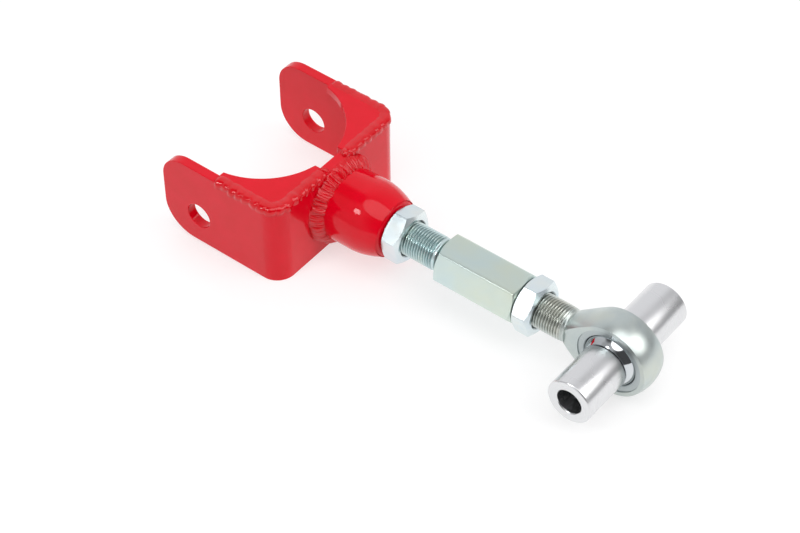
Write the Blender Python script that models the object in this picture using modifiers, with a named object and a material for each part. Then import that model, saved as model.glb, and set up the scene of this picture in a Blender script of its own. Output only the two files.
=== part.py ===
"""Adjustable suspension control arm: a welded fork bracket, a turnbuckle adjuster and a spherical rod end.

Run with: blender --background --python part.py, or from Blender's text editor.
Lengths are metres. +X runs along the arm from the fork to the rod end, +Y along both bolts, +Z up.
The world origin is the centre of the arm's footprint at the height of the fork's lower edge.
Stations along the arm are measured from the outer face of the fork's back wall, on the thread's axis.
"""

from math import acos, atan2, cos, hypot, pi, radians, sin, sqrt, tan

import bmesh
import bpy
from mathutils import Matrix

# ---- driving dimensions -------------------------------------------------------------------------

GAP = 0.0003  # between pieces that touch
OVERCUT = 0.002  # how far a cutter runs past the face that it cuts
STEPS = 40  # faces round a turned piece
FLAT_STEPS = 12  # segments of a round corner in a flat outline
BEND_STEPS = 10
SCOOP_STEPS = 20
NOSE_STEPS = 6
HEAD_STEPS = 16
BALL_STEPS = 12
GROOVE_STEPS = 8
LINER_STEPS = 4

# thread, the same on the stud and on the rod end
THREAD_RADIUS = 0.009525
THREAD_CLEARANCE = 0.0003
THREAD_CHAMFER = 0.0012
HEXAGON_CHAMFER_ANGLE = radians(30)

# fork bracket, one bent plate
PLATE = 0.0056
FORK_HALF_WIDTH = 0.04985
FORK_TOP = 0.0249
FORK_BOTTOM = -0.0261
FORK_TIP = -0.0788
BEND_OUTER_RADIUS = 0.011
EAR_TOP_RADIUS = 0.015
EAR_BOTTOM_RADIUS = 0.0185
EAR_HOLE_X = -0.0552
EAR_HOLE_Z = -0.0076
EAR_HOLE_RADIUS = 0.0076
WALL_HOLE_RADIUS = 0.0108

# corner gussets, let in between the ears and the back wall
GUSSET_THICKNESS = 0.0048
GUSSET_PROUD = 0.0009
GUSSET_START_X = -0.0425
GUSSET_END_Y = 0.0088
GUSSET_SCOOP_X = -0.050
GUSSET_SCOOP_RADIUS = 0.0425

# weld beads
BEAD_RADIUS = 0.0026
BEAD_INSET = 0.0023
BEAD_RISE = 0.0001
RING_WELD_RADIUS = 0.0258
RING_WELD_LENGTH = 0.0070
RING_WELD_FULLNESS = 0.8  # 1 is a quarter of an ellipse, less is fuller

# threaded bung
BUNG_RADIUS = 0.0206
BUNG_NOSE_RADIUS = 0.0160
BUNG_STRAIGHT = 0.0200
BUNG_LENGTH = 0.0376
BUNG_NOSE_CURVE = 1.8  # power of the curve by which the nose draws in

# jam nuts
NUT_ACROSS_FLATS = 0.0274
NUT_HEIGHT = 0.0111
NUT_FACE_RADIUS = 0.0125
BUNG_NUT_TURN = radians(-19.4)
ROD_END_NUT_TURN = radians(-12.6)

# adjuster, a threaded stud and a hexagonal sleeve in one piece
STUD_START = 0.0030
STUD_END = 0.0688
UNDERCUT_RADIUS = 0.0080
UNDERCUT_SHOULDER = 0.0008
HEX_START = 0.0711
HEX_LENGTH = 0.0495
HEX_ACROSS_FLATS = 0.0265
HEX_TURN = radians(9.7)
HEX_STUD_FACE_RADIUS = 0.0113
HEX_NUT_FACE_RADIUS = 0.0131
HEX_BORE_DEPTH = 0.0400

# rod end
BALL_X = 0.1772
SHANK_START = 0.0860
SHANK_END = 0.1478
NECK_RADIUS = 0.0083
NECK_SHOULDER = 0.0009
HEAD_RADIUS = 0.0228
HEAD_HALF_WIDTH = 0.0085
HEAD_FLARE_START = 0.1505
HEAD_FLARE_RADIUS = 0.0097
HEAD_BORE_RADIUS = 0.0190

# bearing
BALL_RADIUS = 0.01667
BALL_HALF_WIDTH = 0.0111
BALL_BORE_RADIUS = 0.009525
BALL_BORE_CHAMFER = 0.0006
RACE_HALF_WIDTH = 0.0080
RACE_RADIUS = HEAD_BORE_RADIUS - GAP
RACE_SEAT_RADIUS = 0.0170
LINER_OUTER_RADIUS = 0.01735
LINER_INNER_RADIUS = 0.01687
LINER_HALF_ANGLE = radians(12)
LINER_GROOVE_RADIUS = 0.01755
LINER_GROOVE_HALF_ANGLE = radians(23)

# misalignment spacers
SPACER_RADIUS = 0.0127
SPACER_END = 0.04215
SPACER_BORE_RADIUS = 0.00715
SPACER_BORE_CHAMFER = 0.0004
SPACER_SHANK_RADIUS = 0.0093
SPACER_SHANK_END = 0.0010
SPACER_CHAMFER = 0.0010

AXIS_HEIGHT = -FORK_BOTTOM
WALL_X = -(FORK_TIP + BALL_X + HEAD_RADIUS) / 2

ALONG_X = Matrix.Rotation(pi / 2, 4, "Y")  # carries a turned shape's own Z axis onto +X
ALONG_Y = Matrix.Rotation(-pi / 2, 4, "X")  # carries it onto +Y


# ---- scene, materials and small helpers -----------------------------------------------------------


def clear_scene():
    for thing in list(bpy.data.objects):
        bpy.data.objects.remove(thing, do_unlink=True)


def new_collection(name):
    collection = bpy.data.collections.new(name)
    bpy.context.scene.collection.children.link(collection)
    return collection


def make_material(name, color, roughness, metallic):
    material = bpy.data.materials.new(name)
    material.use_nodes = True
    shader = material.node_tree.nodes["Principled BSDF"]
    shader.inputs["Base Color"].default_value = (*color, 1.0)
    shader.inputs["Roughness"].default_value = roughness
    shader.inputs["Metallic"].default_value = metallic
    material.diffuse_color = (*color, 1.0)
    return material


def add_empty(name, location, parent=None):
    empty = bpy.data.objects.new(name, None)
    empty.empty_display_size = 0.01
    empty.location = location
    empty.parent = parent
    PARTS.objects.link(empty)
    return empty


def add_object(name, mesh, collection, parent, location=(0, 0, 0), turn=Matrix.Identity(4)):
    thing = bpy.data.objects.new(name, mesh)
    thing.matrix_local = Matrix.Translation(location) @ turn
    thing.parent = parent
    collection.objects.link(thing)
    return thing


def finish(thing, material, sharp_degrees=30):
    thing.data.materials.append(material)
    thing.data.shade_smooth()
    thing.data.set_sharp_from_angle(angle=radians(sharp_degrees))
    return thing


def as_cutter(thing):
    thing.hide_render = True
    thing.display_type = "WIRE"
    return thing


def boolean(thing, cutter, operation):
    modifier = thing.modifiers.new(operation.title(), "BOOLEAN")
    modifier.operation = operation
    modifier.solver = "EXACT"
    modifier.object = cutter


def arc(center, radius, start, end, count):
    """Points along a circle's arc, both ends included."""
    angles = [start + (end - start) * i / count for i in range(count + 1)]
    return [(center[0] + radius * cos(a), center[1] + radius * sin(a)) for a in angles]


def turned(name, profile, closed, collection, parent, location=(0, 0, 0), turn=Matrix.Identity(4)):
    """A profile of (radius, height) points, outer side from the top down, turned round its own Z axis."""
    mesh = bpy.data.meshes.new(name)
    points = [(radius, 0.0, height) for radius, height in profile]
    edges = [(i, i + 1) for i in range(len(points) - 1)]
    if closed:
        edges.append((len(points) - 1, 0))
    mesh.from_pydata(points, edges, [])
    thing = add_object(name, mesh, collection, parent, location, turn)
    screw = thing.modifiers.new("Turn", "SCREW")
    screw.steps = screw.render_steps = STEPS
    screw.use_merge_vertices = True
    screw.merge_threshold = 0.00001
    return thing


def cylinder_cutter(name, radius, low, high, parent, location=(0, 0, 0), turn=Matrix.Identity(4)):
    profile = [(0.0, high), (radius, high), (radius, low), (0.0, low)]
    return as_cutter(turned(name, profile, False, CUTTERS, parent, location, turn))


def plate(name, outline, thickness, collection, parent, location=(0, 0, 0), turn=Matrix.Identity(4)):
    """A flat outline in its own XY plane, thickened equally to both sides and made a mesh."""
    curve = bpy.data.curves.new(name, "CURVE")
    curve.dimensions = "2D"
    curve.fill_mode = "BOTH"
    curve.extrude = thickness / 2
    spline = curve.splines.new("POLY")
    spline.points.add(len(outline) - 1)
    for point, (x, y) in zip(spline.points, outline):
        point.co = (x, y, 0.0, 1.0)
    spline.use_cyclic_u = True
    return curve_to_mesh(name, curve, collection, parent, location, turn)


def curve_to_mesh(name, curve, collection, parent, location, turn):
    """The mesh of an evaluated curve, its caps welded on."""
    guide = add_object(name + "_curve", curve, collection, parent, location, turn)
    evaluated = guide.evaluated_get(bpy.context.evaluated_depsgraph_get())
    mesh = bpy.data.meshes.new_from_object(evaluated)
    mesh.name = name
    weld_points(mesh)
    bpy.data.objects.remove(guide, do_unlink=True)
    return add_object(name, mesh, collection, parent, location, turn)


def weld_points(mesh):
    shape = bmesh.new()
    shape.from_mesh(mesh)
    bmesh.ops.remove_doubles(shape, verts=shape.verts, dist=0.000001)
    bmesh.ops.recalc_face_normals(shape, faces=shape.faces)
    shape.to_mesh(mesh)
    shape.free()


def hexagon(name, across_flats, span, face_radii, parent, turn_angle):
    """A hexagonal bar along +X from span[0] to span[1].

    Its corners are turned down to a cone at both ends, as far as that end's face radius.
    turn_angle is its first corner's, from +Y towards +Z.
    """
    half = (span[1] - span[0]) / 2
    middle = (span[0] + span[1]) / 2
    corner = across_flats / 2 / cos(pi / 6)
    shape = bmesh.new()
    bmesh.ops.create_cone(
        shape, cap_ends=True, segments=6, radius1=corner, radius2=corner, depth=2 * half
    )
    mesh = bpy.data.meshes.new(name)
    shape.to_mesh(mesh)
    shape.free()
    turn = Matrix.Rotation(turn_angle, 4, "X") @ ALONG_X
    bar = add_object(name, mesh, PARTS, parent, (middle, 0, 0), turn)
    slope = tan(HEXAGON_CHAMFER_ANGLE)
    outside = corner + GAP
    low_face, high_face = face_radii
    profile = [
        (0.0, half),
        (high_face, half),
        (outside, half - (outside - high_face) * slope),
        (outside, (outside - low_face) * slope - half),
        (low_face, -half),
        (0.0, -half),
    ]
    barrel = turned(name + "_corners", profile, False, CUTTERS, parent, (middle, 0, 0), ALONG_X)
    boolean(bar, as_cutter(barrel), "INTERSECT")
    return bar


# ---- fork bracket and what is welded to it ----------------------------------------------------------


def fork_plan(inset):
    """Half of the U's plan line at a depth below its outer face, from the tip of the +Y ear to the middle."""
    center = (-BEND_OUTER_RADIUS, FORK_HALF_WIDTH - BEND_OUTER_RADIUS)
    side = FORK_HALF_WIDTH - inset
    bend = arc(center, BEND_OUTER_RADIUS - inset, pi / 2, 0, BEND_STEPS)
    return [(FORK_TIP, side)] + bend + [(-inset, 0.0)]


def ear_outline():
    """The fork seen from the side, as (x, z): square at the back wall, round at the ear's tip."""
    top = (FORK_TIP + EAR_TOP_RADIUS, FORK_TOP - EAR_TOP_RADIUS)
    bottom = (FORK_TIP + EAR_BOTTOM_RADIUS, FORK_BOTTOM + EAR_BOTTOM_RADIUS)
    back = OVERCUT
    return (
        [(back, FORK_BOTTOM), (back, FORK_TOP)]
        + arc(top, EAR_TOP_RADIUS, pi / 2, pi, FLAT_STEPS)
        + arc(bottom, EAR_BOTTOM_RADIUS, pi, 3 * pi / 2, FLAT_STEPS)
    )


def make_fork(wall, material):
    outer, inner = fork_plan(0.0)[:-1], fork_plan(PLATE)[:-1]
    outline = outer + [(x, -y) for x, y in reversed(outer)]
    outline += [(x, -y) for x, y in inner] + list(reversed(inner))
    height = FORK_TOP - FORK_BOTTOM
    middle = (FORK_TOP + FORK_BOTTOM) / 2
    fork = plate("fork_bracket", outline, height + 2 * OVERCUT, PARTS, wall, (0, 0, middle))
    stand_up = Matrix.Rotation(pi / 2, 4, "X")
    side = as_cutter(plate("fork_side", ear_outline(), 3 * FORK_HALF_WIDTH, CUTTERS, wall, turn=stand_up))
    boolean(fork, side, "INTERSECT")
    reach = FORK_HALF_WIDTH + OVERCUT
    pivot = (EAR_HOLE_X, 0, EAR_HOLE_Z)
    holes = cylinder_cutter("ear_holes", EAR_HOLE_RADIUS, -reach, reach, wall, pivot, ALONG_Y)
    boolean(fork, holes, "DIFFERENCE")
    low, high = -PLATE - OVERCUT, OVERCUT
    stud_hole = cylinder_cutter("wall_hole", WALL_HOLE_RADIUS, low, high, wall, turn=ALONG_X)
    boolean(fork, stud_hole, "DIFFERENCE")
    return finish(fork, material)


def gusset_outline(side):
    """The +Y gusset in plan for side +1, its mirror image for side -1."""
    edge = fork_plan(PLATE + GAP)[1:-1]
    ear_y, wall_x = edge[0][1], edge[-1][0]
    start_y = sqrt(GUSSET_SCOOP_RADIUS**2 - (GUSSET_START_X - GUSSET_SCOOP_X) ** 2)
    start = atan2(start_y, GUSSET_START_X - GUSSET_SCOOP_X)
    end = atan2(GUSSET_END_Y, sqrt(GUSSET_SCOOP_RADIUS**2 - GUSSET_END_Y**2))
    scoop = arc((GUSSET_SCOOP_X, 0.0), GUSSET_SCOOP_RADIUS, end, start, SCOOP_STEPS)
    outline = [(GUSSET_START_X, ear_y)] + edge + [(wall_x, GUSSET_END_Y)] + scoop
    return [(x, side * y) for x, y in outline]


def make_gusset(name, side, wall, material):
    top = FORK_TOP + GUSSET_PROUD
    place = (0, 0, top - GUSSET_THICKNESS / 2)
    return finish(plate(name, gusset_outline(side), GUSSET_THICKNESS, PARTS, wall, place), material)


def bead_path(side):
    """The line that a gusset's weld follows on the fork's upper edge."""
    line = fork_plan(BEAD_INSET)[1:-1]
    path = [(GUSSET_START_X, line[0][1])] + line + [(line[-1][0], GUSSET_END_Y)]
    return [(x, side * y) for x, y in path]


def make_gusset_weld(name, side, wall, material):
    curve = bpy.data.curves.new(name, "CURVE")
    curve.dimensions = "3D"
    curve.bevel_depth = BEAD_RADIUS
    curve.bevel_resolution = 3
    curve.use_fill_caps = True
    spline = curve.splines.new("POLY")
    path = bead_path(side)
    spline.points.add(len(path) - 1)
    for point, (x, y) in zip(spline.points, path):
        point.co = (x, y, FORK_TOP + BEAD_RISE, 1.0)
    bead = curve_to_mesh(name, curve, PARTS, wall, (0, 0, 0), Matrix.Identity(4))
    width = 3 * FORK_HALF_WIDTH
    outline = [(-width, -width), (width, -width), (width, width), (-width, width)]
    below = FORK_TOP + GAP - BEAD_RADIUS
    floor = as_cutter(plate(name + "_floor", outline, 2 * BEAD_RADIUS, CUTTERS, wall, (0, 0, below)))
    boolean(bead, floor, "DIFFERENCE")
    return finish(bead, material)


def make_bung(wall, material):
    """A tube whose nose draws in on one long curve."""
    curve = []
    for i in range(NOSE_STEPS + 1):
        t = i / NOSE_STEPS
        station = BUNG_STRAIGHT + (BUNG_LENGTH - BUNG_STRAIGHT) * t
        draw = (BUNG_RADIUS - BUNG_NOSE_RADIUS) * t**BUNG_NOSE_CURVE
        curve.append((BUNG_RADIUS - draw, station))
    bore = THREAD_RADIUS + THREAD_CLEARANCE
    lead = bore + THREAD_CHAMFER
    outside = list(reversed(curve)) + [(BUNG_RADIUS, GAP)]
    inside = [
        (lead, GAP),
        (bore, GAP + THREAD_CHAMFER),
        (bore, BUNG_LENGTH - THREAD_CHAMFER),
        (lead, BUNG_LENGTH),
    ]
    bung = turned("threaded_bung", outside + inside, True, PARTS, wall, turn=ALONG_X)
    return finish(bung, material)


def make_bung_weld(wall, material):
    """A convex fillet round the bung's root, flattened where it meets the fork's upper edge."""
    root = BUNG_RADIUS + GAP
    crown = []
    for i in range(NOSE_STEPS + 1):
        a = pi / 2 * i / NOSE_STEPS
        radius = root + (RING_WELD_RADIUS - root) * sin(a) ** RING_WELD_FULLNESS
        crown.append((radius, GAP + RING_WELD_LENGTH * max(cos(a), 0.0) ** RING_WELD_FULLNESS))
    ring = turned("bung_weld", crown + [(root, GAP)], True, PARTS, wall, turn=ALONG_X)
    size = 4 * RING_WELD_RADIUS
    outline = [(-size, -size), (size, -size), (size, size), (-size, size)]
    above = FORK_TOP - GAP + size / 2
    ceiling = as_cutter(plate("bung_weld_top", outline, size, CUTTERS, wall, (0, 0, above)))
    boolean(ring, ceiling, "DIFFERENCE")
    return finish(ring, material)


# ---- adjuster and jam nuts ----------------------------------------------------------------------------


def make_nut(name, start, turn_angle, joint, joint_x, material):
    """A jam nut from station start, on a joint at station joint_x."""
    low = start - joint_x
    high = low + NUT_HEIGHT
    faces = (NUT_FACE_RADIUS, NUT_FACE_RADIUS)
    nut = hexagon(name, NUT_ACROSS_FLATS, (low, high), faces, joint, turn_angle)
    bore = THREAD_RADIUS + THREAD_CLEARANCE
    lead = bore + THREAD_CHAMFER
    profile = [
        (0.0, high + OVERCUT),
        (lead + OVERCUT, high + OVERCUT),
        (bore, high - THREAD_CHAMFER),
        (bore, low + THREAD_CHAMFER),
        (lead + OVERCUT, low - OVERCUT),
        (0.0, low - OVERCUT),
    ]
    hole = as_cutter(turned(name + "_bore", profile, False, CUTTERS, joint, turn=ALONG_X))
    boolean(nut, hole, "DIFFERENCE")
    return finish(nut, material)


def make_adjuster(joint, joint_x, material):
    low, high = HEX_START - joint_x, HEX_START + HEX_LENGTH - joint_x
    faces = (HEX_STUD_FACE_RADIUS, HEX_NUT_FACE_RADIUS)
    body = hexagon("hex_adjuster", HEX_ACROSS_FLATS, (low, high), faces, joint, HEX_TURN)
    buried = low + OVERCUT
    stud_end, stud_start = STUD_END - joint_x, STUD_START - joint_x
    profile = [
        (0.0, buried),
        (UNDERCUT_RADIUS, buried),
        (UNDERCUT_RADIUS, stud_end + UNDERCUT_SHOULDER),
        (THREAD_RADIUS, stud_end),
        (THREAD_RADIUS, stud_start + THREAD_CHAMFER),
        (THREAD_RADIUS - THREAD_CHAMFER, stud_start),
        (0.0, stud_start),
    ]
    stud = as_cutter(turned("adjuster_stud", profile, False, CUTTERS, joint, turn=ALONG_X))
    boolean(body, stud, "UNION")
    bore = THREAD_RADIUS + THREAD_CLEARANCE
    lead = bore + THREAD_CHAMFER
    floor = high - HEX_BORE_DEPTH
    profile = [
        (0.0, high + OVERCUT),
        (lead + OVERCUT, high + OVERCUT),
        (bore, high - THREAD_CHAMFER),
        (bore, floor),
        (0.0, floor - bore / sqrt(3)),
    ]
    hole = as_cutter(turned("adjuster_bore", profile, False, CUTTERS, joint, turn=ALONG_X))
    boolean(body, hole, "DIFFERENCE")
    return finish(body, material)


# ---- rod end, bearing and spacers -----------------------------------------------------------------------


def rod_end_profile():
    """Shank, neck, flare and round head as one turned shape, measured from the ball's centre."""
    flare = (HEAD_FLARE_START - BALL_X, HEAD_FLARE_RADIUS)
    distance = hypot(*flare)
    tangent = atan2(flare[1], flare[0]) - acos(HEAD_RADIUS / distance)
    head = arc((0.0, 0.0), HEAD_RADIUS, 0.0, tangent, HEAD_STEPS)
    profile = [(max(radius, 0.0), station) for station, radius in head]
    profile[0] = (0.0, HEAD_RADIUS)
    shank_end, shank_start = SHANK_END - BALL_X, SHANK_START - BALL_X
    profile += [
        (flare[1], flare[0]),
        (NECK_RADIUS, flare[0] - NECK_SHOULDER),
        (NECK_RADIUS, shank_end + NECK_SHOULDER),
        (THREAD_RADIUS, shank_end),
        (THREAD_RADIUS, shank_start + THREAD_CHAMFER),
        (THREAD_RADIUS - THREAD_CHAMFER, shank_start),
        (0.0, shank_start),
    ]
    return profile


def make_rod_end(joint, material):
    body = turned("rod_end_body", rod_end_profile(), False, PARTS, joint, turn=ALONG_X)
    reach = 4 * HEAD_RADIUS
    slab = [(-reach, -reach), (reach, -reach), (reach, reach), (-reach, reach)]
    stand_up = Matrix.Rotation(pi / 2, 4, "X")
    width = as_cutter(plate("rod_end_faces", slab, 2 * HEAD_HALF_WIDTH, CUTTERS, joint, turn=stand_up))
    low, high = SHANK_START - BALL_X - OVERCUT, HEAD_FLARE_START - BALL_X
    shank = cylinder_cutter("rod_end_shank_room", HEAD_RADIUS, low, high, joint, turn=ALONG_X)
    boolean(width, shank, "UNION")
    boolean(body, width, "INTERSECT")
    reach = 2 * HEAD_HALF_WIDTH
    bore = cylinder_cutter("rod_end_bore", HEAD_BORE_RADIUS, -reach, reach, joint, turn=ALONG_Y)
    boolean(body, bore, "DIFFERENCE")
    return finish(body, material)


def zone(radius, half_angle, count):
    """A band of a sphere's outline as (radius, height), from the top down."""
    angles = [half_angle - 2 * half_angle * i / count for i in range(count + 1)]
    return [(radius * cos(a), radius * sin(a)) for a in angles]


def seat_point(radius, height):
    return (sqrt(radius**2 - height**2), height)


def make_race(joint, material):
    """A pressed ring with a spherical seat and a shallow groove for the liner."""
    groove = list(reversed(zone(LINER_GROOVE_RADIUS, LINER_GROOVE_HALF_ANGLE, GROOVE_STEPS)))
    edge = groove[-1][1]
    width = RACE_HALF_WIDTH
    lip = [seat_point(RACE_SEAT_RADIUS, edge), seat_point(RACE_SEAT_RADIUS, (edge + width) / 2)]
    lip.append(seat_point(RACE_SEAT_RADIUS, width))
    lower_lip = [(radius, -height) for radius, height in reversed(lip)]
    outside = [(RACE_RADIUS, width), (RACE_RADIUS, -width)]
    race = turned("bearing_race", outside + lower_lip + groove + lip, True, PARTS, joint, turn=ALONG_Y)
    return finish(race, material)


def make_liner(joint, material):
    outside = zone(LINER_OUTER_RADIUS, LINER_HALF_ANGLE, LINER_STEPS)
    inside = list(reversed(zone(LINER_INNER_RADIUS, LINER_HALF_ANGLE, LINER_STEPS)))
    liner = turned("race_liner", outside + inside, True, PARTS, joint, turn=ALONG_Y)
    return finish(liner, material)


def make_ball(joint, material):
    half_angle = atan2(BALL_HALF_WIDTH, sqrt(BALL_RADIUS**2 - BALL_HALF_WIDTH**2))
    outside = zone(BALL_RADIUS, half_angle, BALL_STEPS)
    lead = BALL_BORE_RADIUS + BALL_BORE_CHAMFER
    inside = [
        (lead, -BALL_HALF_WIDTH),
        (BALL_BORE_RADIUS, -BALL_HALF_WIDTH + BALL_BORE_CHAMFER),
        (BALL_BORE_RADIUS, BALL_HALF_WIDTH - BALL_BORE_CHAMFER),
        (lead, BALL_HALF_WIDTH),
    ]
    ball = turned("ball", outside + inside, True, PARTS, joint, turn=ALONG_Y)
    return finish(ball, material)


def make_spacer(name, side, joint, material):
    """A stepped sleeve: its shank sits in the ball, its shoulder on the ball's face."""
    shoulder = BALL_HALF_WIDTH + GAP
    outside = [
        (SPACER_RADIUS - SPACER_CHAMFER / 2, SPACER_END),
        (SPACER_RADIUS, SPACER_END - SPACER_CHAMFER / 2),
        (SPACER_RADIUS, shoulder + SPACER_CHAMFER),
        (SPACER_RADIUS - SPACER_CHAMFER, shoulder),
        (SPACER_SHANK_RADIUS, shoulder),
        (SPACER_SHANK_RADIUS, SPACER_SHANK_END),
    ]
    inside = [
        (SPACER_BORE_RADIUS, SPACER_SHANK_END),
        (SPACER_BORE_RADIUS, SPACER_END - SPACER_BORE_CHAMFER),
        (SPACER_BORE_RADIUS + SPACER_BORE_CHAMFER, SPACER_END),
    ]
    turn = ALONG_Y if side > 0 else Matrix.Rotation(pi / 2, 4, "X")
    return finish(turned(name, outside + inside, True, PARTS, joint, turn=turn), material)


# ---- assembly -------------------------------------------------------------------------------------------

clear_scene()
PARTS = new_collection("control_arm")
CUTTERS = new_collection("cutters")

RED = make_material("red_powder_coat", (0.62, 0.006, 0.016), 0.22, 0.0)
RED_WELD = make_material("red_coated_weld", (0.55, 0.004, 0.012), 0.15, 0.0)
NUT_ZINC = make_material("bright_zinc", (0.74, 0.80, 0.84), 0.26, 1.0)
HEX_ZINC = make_material("clear_zinc", (0.66, 0.75, 0.74), 0.30, 1.0)
BODY_ZINC = make_material("satin_zinc", (0.52, 0.58, 0.57), 0.36, 1.0)
RACE_STEEL = make_material("race_steel", (0.42, 0.45, 0.45), 0.34, 1.0)
LINER = make_material("liner_ptfe", (0.12, 0.11, 0.10), 0.60, 0.0)
CHROME = make_material("ball_chrome", (0.86, 0.87, 0.88), 0.06, 1.0)
ALUMINIUM = make_material("machined_aluminium", (0.86, 0.86, 0.86), 0.24, 1.0)

WALL = add_empty("wall_face", (WALL_X, 0, AXIS_HEIGHT))
BUNG_NUT_X = BUNG_LENGTH + GAP
BUNG_NUT_JOINT = add_empty("bung_nut_travel", (BUNG_NUT_X, 0, 0), WALL)
ADJUSTER_JOINT = add_empty("adjuster_turn", (HEX_START - BUNG_NUT_X, 0, 0), BUNG_NUT_JOINT)
ROD_END_NUT_X = HEX_START + HEX_LENGTH + GAP
ROD_END_NUT_JOINT = add_empty("rod_end_travel", (ROD_END_NUT_X - BUNG_NUT_X, 0, 0), BUNG_NUT_JOINT)
ROD_END_JOINT = add_empty("rod_end_clocking", (BALL_X - ROD_END_NUT_X, 0, 0), ROD_END_NUT_JOINT)
LINER_JOINT = add_empty("ball_tilt_x", (0, 0, 0), ROD_END_JOINT)
BALL_JOINT = add_empty("ball_tilt_z", (0, 0, 0), LINER_JOINT)
BOLT_JOINT = add_empty("bolt_spin", (0, 0, 0), BALL_JOINT)

make_fork(WALL, RED)
make_gusset("gusset_left", 1, WALL, RED)
make_gusset("gusset_right", -1, WALL, RED)
make_gusset_weld("gusset_weld_left", 1, WALL, RED_WELD)
make_gusset_weld("gusset_weld_right", -1, WALL, RED_WELD)
make_bung(WALL, RED)
make_bung_weld(WALL, RED_WELD)
make_nut("bung_jam_nut", BUNG_NUT_X, BUNG_NUT_TURN, BUNG_NUT_JOINT, BUNG_NUT_X, NUT_ZINC)
make_adjuster(ADJUSTER_JOINT, HEX_START, HEX_ZINC)
make_nut("rod_end_jam_nut", ROD_END_NUT_X, ROD_END_NUT_TURN, ROD_END_NUT_JOINT, ROD_END_NUT_X, NUT_ZINC)
make_rod_end(ROD_END_JOINT, BODY_ZINC)
make_race(ROD_END_JOINT, RACE_STEEL)
make_liner(LINER_JOINT, LINER)
make_ball(BALL_JOINT, CHROME)
make_spacer("spacer_left", 1, BOLT_JOINT, ALUMINIUM)
make_spacer("spacer_right", -1, BOLT_JOINT, ALUMINIUM)
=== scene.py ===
"""Looks of the adjustable control arm.

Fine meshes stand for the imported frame's nodes and ride on its bodies. After them come the floor, the light
and the camera.
"""

from math import acos, atan2, cos, floor, hypot, pi, radians, sin, sqrt, tan

import bmesh
import bpy
import numpy as np
from mathutils import Matrix, Vector, noise


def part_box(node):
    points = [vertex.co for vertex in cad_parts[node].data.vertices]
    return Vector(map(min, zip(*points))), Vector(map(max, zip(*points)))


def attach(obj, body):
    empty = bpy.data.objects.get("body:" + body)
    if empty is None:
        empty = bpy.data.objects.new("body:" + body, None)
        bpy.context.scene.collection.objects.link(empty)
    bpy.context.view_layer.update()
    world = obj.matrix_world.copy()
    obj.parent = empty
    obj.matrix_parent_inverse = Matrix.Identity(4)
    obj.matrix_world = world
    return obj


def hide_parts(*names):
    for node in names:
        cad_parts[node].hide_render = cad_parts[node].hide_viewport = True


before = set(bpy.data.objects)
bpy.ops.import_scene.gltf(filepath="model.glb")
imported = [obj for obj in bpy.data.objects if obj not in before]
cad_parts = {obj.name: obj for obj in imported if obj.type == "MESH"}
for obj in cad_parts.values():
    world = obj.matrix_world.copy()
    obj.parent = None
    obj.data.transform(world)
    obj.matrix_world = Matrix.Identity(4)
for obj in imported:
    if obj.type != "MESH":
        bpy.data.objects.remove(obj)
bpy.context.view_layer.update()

# ---- places, read from the frame ----------------------------------------------------------------------

FORK_LOW, FORK_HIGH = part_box("fork_bracket")
BALL_LOW, BALL_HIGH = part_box("ball")
BALL = (BALL_LOW + BALL_HIGH) / 2
AXIS_Z = BALL.z
WALL = Vector((FORK_HIGH.x, 0.0, AXIS_Z))
TOP = FORK_HIGH.z - AXIS_Z
BOTTOM = FORK_LOW.z - AXIS_Z
TIP = FORK_LOW.x - WALL.x
HALF_WIDTH = FORK_HIGH.y
BUNG_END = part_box("threaded_bung")[1].x - WALL.x
BUNG_NUT = [corner.x - WALL.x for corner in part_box("bung_jam_nut")]
ROD_END_NUT = [corner.x - WALL.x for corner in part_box("rod_end_jam_nut")]
ADJUSTER = [corner.x - WALL.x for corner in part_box("hex_adjuster")]
SHANK_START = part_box("rod_end_body")[0].x - BALL.x
HEAD_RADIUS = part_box("rod_end_body")[1].x - BALL.x
BALL_HALF_WIDTH = BALL_HIGH.y
RACE_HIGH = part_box("bearing_race")[1]
SPACER_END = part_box("spacer_left")[1].y

# ---- sizes that the frame's boxes don't give ----------------------------------------------------------
# Stations of the bracket and the adjuster start at the back wall's outer face, those of the rod end at the
# ball's center.

PLATE = 0.0056
BEND_RADIUS = 0.011
EAR_TOP_RADIUS = 0.015
EAR_BOTTOM_RADIUS = 0.0185
EAR_HOLE = (-0.0552, -0.0076)
EAR_HOLE_RADIUS = 0.0076
WALL_HOLE_RADIUS = 0.0108
EDGE_ROUND = 0.0006

GUSSET_THICKNESS = 0.0048
GUSSET_PROUD = 0.0009
GUSSET_START = -0.0425
GUSSET_END_Y = 0.0088
SCOOP_X = -0.050
SCOOP_RADIUS = 0.0425

BUNG_RADIUS = 0.0206
BUNG_NOSE = 0.0160
BUNG_STRAIGHT = 0.0200

THREAD_RADIUS = 0.009525
PITCH = 0.0015875
THREAD_DEPTH = 0.613 * PITCH  # of a 60 degree external thread
BORE_RADIUS = 0.0098

NUT_FLATS = 0.0274
HEX_FLATS = 0.0265
BUNG_NUT_TURN = radians(-19.4)
ROD_END_NUT_TURN = radians(-12.6)
HEX_TURN = radians(9.7)
NUT_EDGE = 0.0005
NUT_FACE = 0.0125
HEX_START = 0.0711
HEX_EDGE = 0.0010
HEX_STUD_FACE = 0.0113
HEX_NUT_FACE = 0.0131
THREAD_END = 0.0675
STUD_END = 0.0688
UNDERCUT_RADIUS = 0.0080

SHANK_END = -0.0294
FLARE_START = (-0.0267, 0.0097)
NECK_RADIUS = 0.0083
HEAD_HALF_WIDTH = 0.0085
HEAD_BORE = 0.0188
BALL_RADIUS = 0.01667
BALL_BORE = 0.009525
RACE_SEAT = 0.0170
SPACER_RADIUS = 0.0127
SPACER_BORE = 0.00715
SPACER_SHANK = 0.0093

ROUND = 144  # faces round a turned piece
HOLE_STEPS = 72  # faces round a hole
MERGE_DISTANCE = 1e-7
TRIM_SHARE = 0.45  # the most that a softened corner takes of a side

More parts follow.
